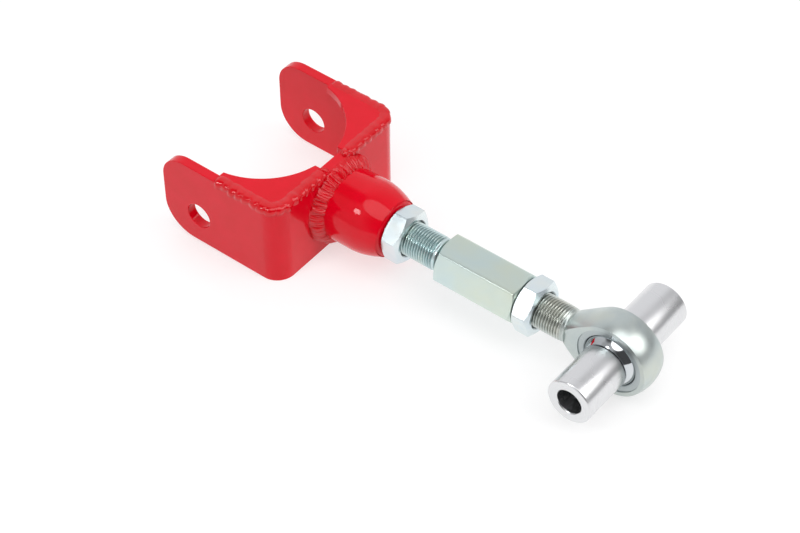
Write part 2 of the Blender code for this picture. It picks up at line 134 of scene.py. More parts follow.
# edges sharper than this many degrees are shaded sharp
SHARP_PLATE = 28
SHARP_HEXAGON = 22
SHARP_TURNED = 35
SHARP_THREAD = 40
SHARP_WELD = 60


# ---- mesh helpers -------------------------------------------------------------------------------------


def new_object(name, mesh, origin):
    thing = bpy.data.objects.new(name, mesh)
    thing.location = origin
    bpy.context.scene.collection.objects.link(thing)
    return thing


def add_piece(name, mesh, origin, body, nodes, material, sharp_degrees=SHARP_PLATE):
    """A finished piece: shaded, given its material, riding on its body and standing for its CAD nodes."""
    thing = new_object(name, mesh, origin)
    mesh.shade_smooth()
    mesh.set_sharp_from_angle(angle=radians(sharp_degrees))
    mesh.materials.clear()
    mesh.materials.append(material)
    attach(thing, body)
    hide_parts(*nodes)
    return thing


def grid_mesh(name, rows, close_rows, close_columns):
    """A quad mesh over rows of points. Open rows get end caps."""
    rows = np.asarray(rows, float)
    count, width = rows.shape[:2]
    faces = []
    for i in range(count if close_rows else count - 1):
        for j in range(width if close_columns else width - 1):
            a, b = i * width + j, i * width + (j + 1) % width
            c, d = (i + 1) % count * width + (j + 1) % width, (i + 1) % count * width + j
            faces.append((a, b, c, d))
    if not close_rows:
        faces.append(tuple(reversed(range(width))))
        faces.append(tuple(range((count - 1) * width, count * width)))
    mesh = bpy.data.meshes.new(name)
    mesh.from_pydata(rows.reshape(-1, 3).tolist(), [], faces)
    return outward(mesh)


def outward(mesh):
    """The mesh with its doubled points merged and every face pointing out."""
    shape = bmesh.new()
    shape.from_mesh(mesh)
    bmesh.ops.remove_doubles(shape, verts=shape.verts, dist=MERGE_DISTANCE)
    bmesh.ops.recalc_face_normals(shape, faces=shape.faces)
    shape.to_mesh(mesh)
    shape.free()
    return mesh


def softened(points, trim, closed=True, steps=4):
    """The same outline with each corner drawn as a short curve, trim long on both sides."""
    points = [Vector(p) for p in points]
    made = []
    last = len(points) - 1
    for i, corner in enumerate(points):
        if not closed and i in (0, last):
            made.append(corner)
            continue
        before, after = points[i - 1], points[(i + 1) % len(points)]
        reach = min(trim, (before - corner).length * TRIM_SHARE, (after - corner).length * TRIM_SHARE)
        start = corner + (before - corner).normalized() * reach
        end = corner + (after - corner).normalized() * reach
        for k in range(steps + 1):
            t = k / steps
            made.append(start * (1 - t) ** 2 + corner * 2 * t * (1 - t) + end * t**2)
    return [tuple(p) for p in made]


def lathe(name, profile, axis, closed=True, segments=ROUND):
    """(station, radius) points turned round the X or Y axis."""
    rows = []
    for j in range(segments):
        a = 2 * pi * j / segments
        if axis == "X":
            rows.append([(s, r * cos(a), r * sin(a)) for s, r in profile])
        else:
            rows.append([(r * sin(a), s, r * cos(a)) for s, r in profile])
    if closed:
        return grid_mesh(name, rows, True, True)
    turned = np.swapaxes(np.asarray(rows), 0, 1)
    return grid_mesh(name, turned, False, True)


def arc(center, radius, start, end, count):
    """Points round part of a circle, both ends included."""
    angles = [start + (end - start) * i / count for i in range(count + 1)]
    return [(center[0] + radius * cos(a), center[1] + radius * sin(a)) for a in angles]


def prism(name, outline, low, high, plane):
    """An outline drawn in XY or XZ, made solid from low to high along the third axis."""
    mesh = bpy.data.meshes.new(name)
    count = len(outline)
    if plane == "XY":
        points = [(x, y, h) for h in (low, high) for x, y in outline]
    else:
        points = [(x, h, z) for h in (low, high) for x, z in outline]
    sides = [(i, (i + 1) % count, (i + 1) % count + count, i + count) for i in range(count)]
    mesh.from_pydata(points, [], [tuple(range(count)), tuple(range(count, 2 * count)), *sides])
    return outward(mesh)


def cut(mesh, cutters):
    """The mesh after each (operation, cutter mesh) in turn."""
    target = new_object("target", mesh, (0, 0, 0))
    others = []
    for operation, cutter in cutters:
        other = new_object("cutter", cutter, (0, 0, 0))
        others.append(other)
        modifier = target.modifiers.new("cut", "BOOLEAN")
        modifier.operation = operation
        modifier.object = other
    evaluated = target.evaluated_get(bpy.context.evaluated_depsgraph_get())
    made = bpy.data.meshes.new_from_object(evaluated)
    for thing in [target, *others]:
        bpy.data.objects.remove(thing, do_unlink=True)
    return made


def joined(name, meshes):
    """Several closed meshes as one."""
    shape = bmesh.new()
    for mesh in meshes:
        shape.from_mesh(mesh)
    made = bpy.data.meshes.new(name)
    shape.to_mesh(made)
    shape.free()
    return made


def round_edges(thing, width, segments, angle):
    """Bevel modifiers for the edges that are sharper than an angle."""
    bevel = thing.modifiers.new("Round edges", "BEVEL")
    bevel.limit_method = "ANGLE"
    bevel.angle_limit = radians(angle)
    bevel.width = width
    bevel.segments = segments
    bevel.harden_normals = False
    weighted = thing.modifiers.new("Flat faces stay flat", "WEIGHTED_NORMAL")
    weighted.keep_sharp = True


# ---- threads and hexagons -----------------------------------------------------------------------------


PER_PITCH = 12  # stations to a pitch
THREAD_SEGMENTS = 96
THREAD_CHAMFER = 0.0008
ROOT_FLAT = 0.22  # of half a pitch
FLANK = 0.66  # of half a pitch
RUNOUT_HEIGHT = 0.55  # of the thread's depth, where the runout ends


def thread(name, start, end, hand, plain_start, runout):
    """A male thread along +X from start to end: plain before it, and running out over its last turns."""
    stations = [plain_start, plain_start + THREAD_CHAMFER]
    count = round((end - start) / PITCH * PER_PITCH)
    stations += [start + (end - start) * i / count for i in range(count + 1)]
    root = THREAD_RADIUS - THREAD_DEPTH
    rows = []
    for k, s in enumerate(stations):
        row = []
        for j in range(THREAD_SEGMENTS):
            a = 2 * pi * j / THREAD_SEGMENTS
            if k == 0:
                r = root - THREAD_CHAMFER
            elif k == 1:
                r = root
            else:
                t = (s / PITCH - hand * j / THREAD_SEGMENTS) % 1.0
                height = min(max((abs(2 * t - 1) - ROOT_FLAT) / FLANK, 0.0), 1.0)
                fade = min(max((end - s) / runout, 0.0), 1.0) ** 0.5
                lead = min((s - start) / PITCH, 1.0)
                r = root + THREAD_DEPTH * (height * lead * fade + (1 - fade) * RUNOUT_HEIGHT)
            row.append((s, r * cos(a), r * sin(a)))
        rows.append(row)
    return grid_mesh(name, rows, False, True)


FLAT_STEPS = (0.04, 0.12, 0.25, 0.4, 0.6, 0.75, 0.88, 0.96)  # points along a flat, for the chamfer's curve


def hexagon_outline(across_flats, corner_radius, turn):
    """(angle, radius) round a hexagon with round corners."""
    inner = across_flats / 2 - corner_radius
    points = []
    for k in range(6):
        middle = turn + k * pi / 3
        corner = inner / cos(pi / 6)
        center = (corner * cos(middle), corner * sin(middle))
        points += arc(center, corner_radius, middle - pi / 6, middle + pi / 6, 5)
        following = middle + pi / 3
        following_center = (corner * cos(following), corner * sin(following))
        normal = middle + pi / 6
        shift = (corner_radius * cos(normal), corner_radius * sin(normal))
        for t in FLAT_STEPS:
            x = center[0] * (1 - t) + following_center[0] * t + shift[0]
            y = center[1] * (1 - t) + following_center[1] * t + shift[1]
            points.append((x, y))
    return [(atan2(y, x), hypot(x, y)) for x, y in points]


CHAMFER_SLOPE = tan(radians(30))
CHAMFER_RIM = 0.00005
BLIND_CORE = 0.002  # radius of the hidden hole that makes a blind sleeve a closed ring


def hexagon(name, across_flats, edge, span, turn, faces, bore, lead, bore_floor=None):
    """A hexagonal nut or sleeve along +X, chamfered as far as a face radius at each end.

    Its bore goes right through or down to a floor.
    """
    low, high = span
    low_face, high_face = faces
    rows = []
    for a, r in hexagon_outline(across_flats, edge, turn):
        low_drop = max(r - low_face, 0.0) * CHAMFER_SLOPE + CHAMFER_RIM
        high_drop = max(r - high_face, 0.0) * CHAMFER_SLOPE + CHAMFER_RIM
        inner = [(high, bore + lead), (high - lead, bore)]
        if bore_floor is None:
            inner += [(low + lead, bore), (low, bore + lead)]
        else:
            inner += [(bore_floor, bore), (bore_floor, BLIND_CORE), (low, BLIND_CORE)]
        outer = [(low, low_face), (low + low_drop, r), (high - high_drop, r), (high, high_face)]
        rows.append([(s, q * cos(a), q * sin(a)) for s, q in inner + outer])
    return grid_mesh(name, rows, True, True)


# ---- weld beads ---------------------------------------------------------------------------------------


def curve_point(controls, t):
    """A point of the Bezier curve over the control points."""
    points = [Vector(p) for p in controls]
    while len(points) > 1:
        points = [p.lerp(q, t) for p, q in zip(points, points[1:])]
    return points[0]


LUMP_JITTER = 0.30  # of a pitch
LUMP_JITTER_RATE = 0.6
LUMP_SHARPNESS = 2.4


def lump(phase, seed):
    """How far a place along a bead is up its puddle: 1 in the middle, 0 in the crease between two."""
    beat = phase + LUMP_JITTER * noise.noise(Vector((phase * LUMP_JITTER_RATE, seed, 0.0)))
    return 1 - abs(2 * (beat - floor(beat)) - 1) ** LUMP_SHARPNESS


BEAD_STEPS = 16  # across a bead
BEAD_MIDDLE = Vector((0.0, -0.0008))
BEAD_END = 0.0030  # length of the round end
BEAD_END_SHARE = 0.02  # what is left of the section at the very end
BEAD_SWING = 0.0010  # how far the crown of a puddle runs ahead of its toes
PUDDLE_FLOOR = 0.08
PUDDLE_RISE = 1.4
RIPPLE_PITCH = 0.0011
RIPPLE_SWING = 1.4
RIPPLE_SHARE = 0.02
WANDER_SEED = 5.0
WANDER_RATE = 260
WANDER_ACROSS = 1.5
WANDER_SHARE = 0.8
WANDER_FLOOR = 0.35
BEAD_ROOT = ((-1, 0.5, -0.0024), (0, 0.6, -0.0016))  # (end of the section, share of its reach, depth)


def bead(name, path, outward_side, section, pitch, wave, seed):
    """A weld bead along a line of points. Its section is a Bezier curve of (outward, up) points."""
    lengths = [0.0]
    for p, q in zip(path, path[1:]):
        lengths.append(lengths[-1] + (Vector(q) - Vector(p)).length)
    rows = []
    for i, (p, s) in enumerate(zip(path, lengths)):
        before, after = path[max(i - 1, 0)], path[min(i + 1, len(path) - 1)]
        along = Vector((after[0] - before[0], after[1] - before[1])).normalized()
        out = Vector((-along.y, along.x)) * outward_side
        edge = min(min(s, lengths[-1] - s) / BEAD_END, 1.0)
        taper = sqrt(max(1 - (1 - edge) ** 2, 0.0)) * (1 - BEAD_END_SHARE) + BEAD_END_SHARE
        row = []
        for k in range(BEAD_STEPS + 1):
            t = k / BEAD_STEPS
            place = curve_point(section, t)
            swing = BEAD_SWING * (1 - (2 * t - 1) ** 2)
            puddle = (lump((s - swing) / pitch, seed) - 0.5) * (PUDDLE_FLOOR + PUDDLE_RISE * t**3)
            ripple = sin(2 * pi * (s - RIPPLE_SWING * swing) / RIPPLE_PITCH)
            wander = noise.noise(Vector((s * WANDER_RATE, seed + WANDER_SEED, t * WANDER_ACROSS)))
            grow = wave * (puddle + RIPPLE_SHARE * ripple * t + WANDER_SHARE * wander * (WANDER_FLOOR + t))
            spread = BEAD_MIDDLE + (place - BEAD_MIDDLE) * taper
            spread += (place - BEAD_MIDDLE).normalized() * grow * taper
            row.append((p[0] + out.x * spread.x, p[1] + out.y * spread.x, p[2] + spread.y))
        for which, share, depth in BEAD_ROOT:
            u = share * section[which][0]
            row.append((p[0] + out.x * u * taper, p[1] + out.y * u * taper, p[2] + depth * taper))
        rows.append(row)
    return grid_mesh(name, rows, False, True)


RING_SEGMENTS = 960
RING_STEPS = 12  # across the ring
RING_PUDDLES = 104
RING_ROOT = BUNG_RADIUS - 0.0006
RING_INSIDE = RING_ROOT - 0.0010
RING_BACK = -0.0004  # station of its hidden back, inside the wall
RING_TOE = 0.0054  # its reach along the wall
RING_LEG = 0.0066  # its reach along the bung
RING_SWING = 0.6
RING_ROUNDNESS = 1.45
DRIFT_RATE = 4
LUMPS_RATE = 11
LUMPS_SEED = 7.0
TOE_DRIFT = 0.14
TOE_WAVE = 0.00012
LEG_DRIFT = 0.12
LEG_LUMPS = 0.10
LEG_WAVE = 0.00018
BULGE_WAVE = 0.00012
BULGE_LUMPS = 0.0007
BULGE_SPREAD = 0.6
UPPER_SIDE = 0.2  # sine of the angle from which the fork's upper edge can cut the toe off
EDGE_OVERHANG = 0.0004


def ring_weld(name, seed):
    """The bead round the bung's root. Its upper toe is held down at the fork's edge."""
    rows = []
    for j in range(RING_SEGMENTS):
        a = 2 * pi * j / RING_SEGMENTS
        row = []
        for k in range(RING_STEPS + 1):
            t = k / RING_STEPS
            swing = 1.0 - (2 * t - 1) ** 2
            puddle = lump(a / (2 * pi) * RING_PUDDLES - RING_SWING * swing, seed)
            drift = noise.noise(Vector((cos(a) * DRIFT_RATE, sin(a) * DRIFT_RATE, seed + t)))
            lumps = noise.noise(Vector((cos(a) * LUMPS_RATE, sin(a) * LUMPS_RATE, seed + LUMPS_SEED + t)))
            toe = RING_TOE * (1 + TOE_DRIFT * drift) + TOE_WAVE * puddle
            leg = RING_LEG * (1 + LEG_DRIFT * drift + LEG_LUMPS * lumps) + LEG_WAVE * puddle
            if sin(a) > UPPER_SIDE:
                toe = min(toe, (TOP + EDGE_OVERHANG) / sin(a) - RING_ROOT)
            bulge = (BULGE_WAVE * (puddle - 0.5) + BULGE_LUMPS * lumps) * (4 * t * (1 - t)) ** BULGE_SPREAD
            station = leg * sin(pi / 2 * t) ** RING_ROUNDNESS + bulge
            radius = RING_ROOT + toe * cos(pi / 2 * t) ** RING_ROUNDNESS + bulge
            row.append((station, radius * cos(a), radius * sin(a)))
        for station in (RING_LEG, RING_BACK):
            row.append((station, RING_INSIDE * cos(a), RING_INSIDE * sin(a)))
        rows.append(row)
    return grid_mesh(name, rows, True, True)


# ---- materials ----------------------------------------------------------------------------------------


class Shader:
    """A Principled material with short calls for the nodes that this script uses."""

    def __init__(self, name, color, metallic, roughness):
        self.material = bpy.data.materials.new(name)
        self.material.use_nodes = True
        self.tree = self.material.node_tree
        self.surface = self.tree.nodes["Principled BSDF"]
        self.set(self.surface, "Base Color", (*color, 1.0))
        self.set(self.surface, "Metallic", metallic)
        self.set(self.surface, "Roughness", roughness)
        self.place = self.add("ShaderNodeTexCoord").outputs["Object"]

    def add(self, kind, **settings):
        node = self.tree.nodes.new(kind)
        for key, value in settings.items():
            setattr(node, key, value)
        return node

    def set(self, node, socket, value):
        node.inputs[socket].default_value = value

    def link(self, output, node, socket):
        self.tree.links.new(output, node.inputs[socket])

    def noise(self, scale, detail=3.0, roughness=0.5, stretch=(1, 1, 1), vector=None, distortion=0.0):
        mapping = self.add("ShaderNodeMapping")
        self.set(mapping, "Scale", stretch)
        self.link(vector or self.place, mapping, "Vector")
        texture = self.add("ShaderNodeTexNoise")
        self.set(texture, "Scale", scale)
        self.set(texture, "Detail", detail)
        self.set(texture, "Roughness", roughness)
        self.set(texture, "Distortion", distortion)
        self.link(mapping.outputs["Vector"], texture, "Vector")
        return texture.outputs["Fac"]

    def ramp(self, factor, stops):
        node = self.add("ShaderNodeValToRGB")
        elements = node.color_ramp.elements
        while len(elements) < len(stops):
            elements.new(0.5)
        for element, (position, color) in zip(elements, stops):
            element.position = position
            element.color = (*color, 1.0)
        self.link(factor, node, "Fac")
        return node.outputs["Color"]

    def span(self, factor, low, high, start=0.3, end=0.7):
        node = self.add("ShaderNodeMapRange")
        self.set(node, "From Min", start)
        self.set(node, "From Max", end)
        self.set(node, "To Min", low)
        self.set(node, "To Max", high)
        self.link(factor, node, "Value")
        return node.outputs["Result"]

    def radial(self, axis):
        """(distance from the axis, station along it, 0): what a lathe's marks follow."""
        split = self.add("ShaderNodeSeparateXYZ")
        self.link(self.place, split, "Vector")
        others = [c for c in "XYZ" if c != axis]
        flat = self.add("ShaderNodeCombineXYZ")
        self.link(split.outputs[others[0]], flat, "X")
        self.link(split.outputs[others[1]], flat, "Y")
        length = self.add("ShaderNodeVectorMath", operation="LENGTH")
        self.link(flat.outputs["Vector"], length, 0)
        made = self.add("ShaderNodeCombineXYZ")
        self.link(length.outputs["Value"], made, "X")
        self.link(split.outputs[axis], made, "Y")
        return made.outputs["Vector"]

    def with_painted_shade(self, color, painted_shade, near, far):
        """The colour with painted shade: dark where the distance from the X axis is under near and clear of
        it from far on.
        """
        split = self.add("ShaderNodeSeparateXYZ")
        self.link(self.radial("X"), split, "Vector")
        share = self.span(split.outputs["X"], 1.0, 0.0, near, far)
        mix = self.add("ShaderNodeMix", data_type="RGBA")
        self.link(share, mix, "Factor")
        self.link(color, mix, "A")
        self.set(mix, "B", (*painted_shade, 1.0))
        return mix.outputs["Result"]

    def bump(self, height, strength, distance, below=None):
        node = self.add("ShaderNodeBump")
        self.set(node, "Strength", strength)
        self.set(node, "Distance", distance)
        self.link(height, node, "Height")
        if below is not None:
            self.link(below, node, "Normal")
        return node.outputs["Normal"]

    def finish(self, color=None, roughness=None, normal=None):
        if color is not None:
            self.link(color, self.surface, "Base Color")
        if roughness is not None:
            self.link(roughness, self.surface, "Roughness")
        if normal is not None:
            self.link(normal, self.surface, "Normal")
        return self.material


def red_coat(name, deep, bright, gloss, peel, specular):
    """Powder coat: a glossy saturated red with orange peel."""
    shader = Shader(name, bright, metallic=0.0, roughness=gloss)
    shader.set(shader.surface, "Specular IOR Level", specular)
    color = shader.ramp(shader.noise(scale=90.0, detail=4.0), [(0.3, deep), (0.7, bright)])
    rough = shader.span(shader.noise(scale=240.0), gloss * 0.8, gloss * 1.25)
    coarse = shader.bump(shader.noise(scale=420.0, detail=2.0), peel, distance=0.00012)
    fine = shader.bump(shader.noise(scale=1900.0, detail=2.0), peel * 0.6, distance=0.00003, below=coarse)
    return shader.finish(color, rough, fine)


def zinc(name, cool, middle, warm, low, high, grain, scale=70.0, painted_shade=None):
    """Zinc plate: a faint play of blue, grey and straw, and a soft uneven gloss.

    Its last argument, (colour, near, far), paints shade into a thread's grooves or a countersink, close to
    the X axis.
    """
    shader = Shader(name, middle, metallic=1.0, roughness=(low + high) / 2)
    tint = shader.noise(scale=scale, roughness=0.55, distortion=0.4)
    color = shader.ramp(tint, [(0.30, cool), (0.52, middle), (0.72, warm)])
    # painted shade in the recesses nearest the X axis
    if painted_shade is not None:
        color = shader.with_painted_shade(color, *painted_shade)
    rough = shader.span(shader.noise(scale=180.0, detail=5.0, roughness=0.6), low, high)
    pits = shader.bump(shader.noise(scale=900.0, detail=4.0, roughness=0.6), grain, distance=0.00004)
    scratches = shader.noise(scale=2600.0, detail=2.0, stretch=(0.05, 1, 1))
    return shader.finish(color, rough, shader.bump(scratches, grain * 0.8, distance=0.00002, below=pits))


def turned_metal(name, color, shade, low, high, depth, scale):
    """Metal straight off the lathe: fine rings round the Y axis, on its sides and on its end faces."""
    shader = Shader(name, color, metallic=1.0, roughness=(low + high) / 2)
    rings = shader.noise(scale=scale, detail=4.0, roughness=0.7, vector=shader.radial("Y"))
    patches = shader.noise(scale=60.0, detail=2.0)
    tint = shader.ramp(rings, [(0.25, shade), (0.75, color)])
    rough = shader.span(patches, low, high)
    return shader.finish(tint, rough, shader.bump(rings, depth, distance=0.00003))


RED = red_coat(
    "red_powder_coat", deep=(0.68, 0.0006, 0.010), bright=(0.73, 0.0008, 0.014),
    gloss=0.08, peel=0.06, specular=0.29,
)
RED_WELD = red_coat(
    "red_coated_weld", deep=(0.62, 0.0004, 0.006), bright=(0.68, 0.0006, 0.009),
    gloss=0.05, peel=0.08, specular=0.5,
)
NUT_ZINC = zinc(
    "bright_zinc", cool=(0.68, 0.78, 0.84), middle=(0.74, 0.82, 0.84), warm=(0.78, 0.83, 0.82),
    # painted shade in the countersink and the bore
    low=0.19, high=0.26, grain=0.03, painted_shade=((0.12, 0.15, 0.15), 0.0100, 0.0109),
)
HEX_ZINC = zinc(
    "clear_zinc", cool=(0.57, 0.70, 0.73), middle=(0.62, 0.73, 0.70), warm=(0.66, 0.73, 0.63),
    low=0.28, high=0.34, grain=0.05, scale=28.0,
)
BODY_ZINC = zinc(
    "satin_zinc", cool=(0.50, 0.56, 0.56), middle=(0.55, 0.60, 0.58), warm=(0.58, 0.62, 0.57),
    low=0.30, high=0.40, grain=0.10,
)
STUD_ZINC = zinc(
    "stud_thread_zinc", cool=(0.54, 0.68, 0.70), middle=(0.62, 0.74, 0.74), warm=(0.70, 0.77, 0.70),
    # painted shade in the thread's grooves and the undercut
    low=0.26, high=0.34, grain=0.10, painted_shade=((0.30, 0.40, 0.40), 0.0086, 0.0092),
)
SHANK_ZINC = zinc(
    "shank_thread_zinc", cool=(0.56, 0.62, 0.61), middle=(0.62, 0.66, 0.63), warm=(0.68, 0.68, 0.61),
    # painted shade in the thread's grooves
    low=0.26, high=0.34, grain=0.10, painted_shade=((0.30, 0.31, 0.28), 0.0086, 0.0092),
)
RACE_STEEL = turned_metal(
    "race_steel", (0.50, 0.55, 0.55), (0.38, 0.42, 0.43), low=0.26, high=0.36, depth=0.25, scale=2200.0
)
CHROME = turned_metal(
    "ball_chrome", (0.64, 0.67, 0.69), (0.60, 0.63, 0.65), low=0.04, high=0.07, depth=0.03, scale=3000.0
)
ALUMINIUM = turned_metal(
    "machined_aluminium", (0.78, 0.78, 0.79), (0.67, 0.68, 0.69),
    low=0.22, high=0.32, depth=0.30, scale=2600.0,
)
LINER = zinc(
    "liner_ptfe", cool=(0.05, 0.045, 0.04), middle=(0.07, 0.06, 0.05), warm=(0.09, 0.08, 0.06),
    low=0.5, high=0.7, grain=0.3,
)


# ---- bracket ------------------------------------------------------------------------------------------


SPARE = 0.002  # how far a cutting shape stands out of what it cuts


def fork_line(inset, count=24):
    """Half of the U's plan line at a depth below its outer face, from the +Y ear's tip to the middle."""
    center = (-BEND_RADIUS, HALF_WIDTH - BEND_RADIUS)
    bend = arc(center, BEND_RADIUS - inset, pi / 2, 0, count)
    return [(TIP, HALF_WIDTH - inset)] + bend + [(-inset, 0.0)]


def make_fork():
    outer, inner = fork_line(0.0)[:-1], fork_line(PLATE)[:-1]
    outline = outer + [(x, -y) for x, y in reversed(outer)]
    outline += [(x, -y) for x, y in inner] + list(reversed(inner))
    sheet = prism("fork", outline, BOTTOM - SPARE, TOP + SPARE, "XY")
    top_center = (TIP + EAR_TOP_RADIUS, TOP - EAR_TOP_RADIUS)
    bottom_center = (TIP + EAR_BOTTOM_RADIUS, BOTTOM + EAR_BOTTOM_RADIUS)
    side = [(SPARE, BOTTOM), (SPARE, TOP)]
    side += arc(top_center, EAR_TOP_RADIUS, pi / 2, pi, count=28)
    side += arc(bottom_center, EAR_BOTTOM_RADIUS, pi, 1.5 * pi, count=32)
    reach = HALF_WIDTH + 2 * SPARE
    silhouette = prism("fork_side", side, -reach, reach, "XZ")
    hole_line = arc(EAR_HOLE, EAR_HOLE_RADIUS, 0, 2 * pi, HOLE_STEPS)[:-1]
    hole = prism("ear_holes", hole_line, -reach, reach, "XZ")
    inside = -PLATE - SPARE
    drill = [(inside, 0.0), (inside, WALL_HOLE_RADIUS), (SPARE, WALL_HOLE_RADIUS), (SPARE, 0.0)]
    stud_hole = lathe("wall_hole", drill, "X", closed=False, segments=HOLE_STEPS)
    mesh = cut(sheet, [("INTERSECT", silhouette), ("DIFFERENCE", hole), ("DIFFERENCE", stud_hole)])
    fork = add_piece("fork", mesh, WALL, "bracket", ["fork_bracket"], RED)
    round_edges(fork, EDGE_ROUND, segments=4, angle=40)


GUSSET_OVERLAP = 0.0016
GUSSET_ROUND = 0.0005


def make_gusset(name, side, node):
    """Its outer edge runs on under the weld, over the fork's edge."""
    edge = fork_line(PLATE - GUSSET_OVERLAP)[1:-1]
    start_y = sqrt(SCOOP_RADIUS**2 - (GUSSET_START - SCOOP_X) ** 2)
    start = atan2(start_y, GUSSET_START - SCOOP_X)
    end = atan2(GUSSET_END_Y, sqrt(SCOOP_RADIUS**2 - GUSSET_END_Y**2))
    scoop = arc((SCOOP_X, 0.0), SCOOP_RADIUS, end, start, count=48)
    outline = [(GUSSET_START, edge[0][1])] + edge + [(edge[-1][0], GUSSET_END_Y)] + scoop
    outline = [(x, side * y) for x, y in outline]
    high = TOP + GUSSET_PROUD
    mesh = prism(name, outline, high - GUSSET_THICKNESS, high, "XY")
    gusset = add_piece(name, mesh, WALL, "bracket", [node], RED)
    round_edges(gusset, GUSSET_ROUND, segments=3, angle=40)


# (outward, up) from a line along the middle of the fork's edge: from the gusset's top over the outer edge
EDGE_BEAD = [(-0.0046, 0.0006), (-0.0020, 0.0014), (0.0012, 0.0019), (0.0032, 0.0008), (0.0026, -0.0028)]
EDGE_BEAD_INSET = 0.0021
EDGE_BEAD_PITCH = 0.0048
# the same from a line across the back wall's edge, for the short bead at the gusset's end
END_BEAD = [(-0.0024, -0.0004), (-0.0020, 0.0022), (0.0, 0.0034), (0.0020, 0.0022), (0.0024, -0.0004)]
END_BEAD_PITCH = 0.0026
END_BEAD_WAVE = 0.0006
END_BEAD_WEAVE = 0.0006
END_BEAD_WEAVE_RATE = 900
END_BEAD_SINK = 0.0002
END_BEAD_START = 0.0002  # past the wall's outer face
END_BEAD_SEED = 20
BEAD_PAST_END = 0.0004
BEAD_SPACING = 0.00020


def make_gusset_beads(name, side, node, wave, end_size, seed):
    """One bead along the fork's outer edge, and one across the back wall's edge at the gusset's end."""
    line = fork_line(EDGE_BEAD_INSET, count=40)
    points = [(GUSSET_START - BEAD_PAST_END, line[1][1])] + line[1:-1]
    points.append((line[-1][0], GUSSET_END_Y + BEAD_PAST_END))
    path = [(x, side * y, TOP) for x, y in resampled(points, BEAD_SPACING)]
    edge = bead(name, path, side, EDGE_BEAD, EDGE_BEAD_PITCH, wave, seed)
    ends = [(END_BEAD_START, GUSSET_END_Y), (-PLATE - BEAD_PAST_END, GUSSET_END_Y)]
    across = resampled(ends, BEAD_SPACING)
    woven = [(x, y + END_BEAD_WEAVE * sin(x * END_BEAD_WEAVE_RATE)) for x, y in across]
    path = [(x, side * y, TOP - END_BEAD_SINK) for x, y in woven]
    section = [(u * end_size, v * end_size) for u, v in END_BEAD]
    end_wave = END_BEAD_WAVE * end_size
    end = bead(name + "_end", path, side, section, END_BEAD_PITCH, end_wave, seed + END_BEAD_SEED)
    mesh = joined(name + "_beads", [edge, end])
    add_piece(name, mesh, WALL, "bracket", [node], RED_WELD, SHARP_WELD)


def resampled(points, step):
    """Points at even steps along a line of points."""
    made = []
    for (ax, ay), (bx, by) in zip(points, points[1:]):
        length = hypot(bx - ax, by - ay)
        count = max(round(length / step), 1)
        made += [(ax + (bx - ax) * i / count, ay + (by - ay) * i / count) for i in range(count)]
    return made + [points[-1]]


NOSE_STEPS = 28
NOSE_TAPER = 1.8
NOSE_LEAD = 0.0012
NOSE_LEAD_ROUND = 0.0004
NOSE_ROUNDING = ((0.0013, -0.0001), (0.0004, 0.0006), (0.0, 0.0016))  # (before the end, inside the nose)


def make_bung():
    curve = []
    for i in range(NOSE_STEPS + 1):
        t = i / NOSE_STEPS
        station = BUNG_STRAIGHT + (BUNG_END - BUNG_STRAIGHT) * t
        curve.append((station, BUNG_RADIUS - (BUNG_RADIUS - BUNG_NOSE) * t**NOSE_TAPER))
    mouth = [(BUNG_END, BORE_RADIUS + NOSE_LEAD), (BUNG_END - NOSE_LEAD, BORE_RADIUS)]
    profile = [(0.0, BUNG_RADIUS)] + curve[:-1]
    profile += [(BUNG_END - back, BUNG_NOSE - inside) for back, inside in NOSE_ROUNDING]
    profile += softened([curve[-1]] + mouth, NOSE_LEAD_ROUND, False)[1:] + [(0.0, BORE_RADIUS)]
    mesh = lathe("bung", profile, "X")
    add_piece("bung", mesh, WALL, "bracket", ["threaded_bung"], RED, SHARP_TURNED)


make_fork()
make_gusset("gusset_plate_left", 1, "gusset_left")
make_gusset("gusset_plate_right", -1, "gusset_right")
make_gusset_beads("gusset_bead_left", 1, "gusset_weld_left", wave=0.00042, end_size=1.0, seed=2.0)
make_gusset_beads("gusset_bead_right", -1, "gusset_weld_right", wave=0.00066, end_size=0.7, seed=9.0)
make_bung()
ring = ring_weld("bung_bead", seed=4.0)
add_piece("bung_bead", ring, WALL, "bracket", ["bung_weld"], RED_WELD, SHARP_WELD)


# ---- adjuster and nuts --------------------------------------------------------------------------------


NUT_BORE = THREAD_RADIUS - 0.0002
NUT_LEAD = 0.0015
SLEEVE_LEAD = 0.0009
SLEEVE_DEPTH = 0.030
STUD_START = 0.0200
COLLAR_RADIUS = THREAD_RADIUS - 0.0003
COLLAR_START = THREAD_END - 0.0003
UNDERCUT_SHOULDER = 0.0008
UNDERCUT_END = HEX_START + 0.002
UNDERCUT_ROUND = 0.0003


def make_nut(name, span, turn, body, node):
    mesh = hexagon(name, NUT_FLATS, NUT_EDGE, span, turn, (NUT_FACE, NUT_FACE), NUT_BORE, NUT_LEAD)
    add_piece(name, mesh, WALL, body, [node], NUT_ZINC, SHARP_HEXAGON)


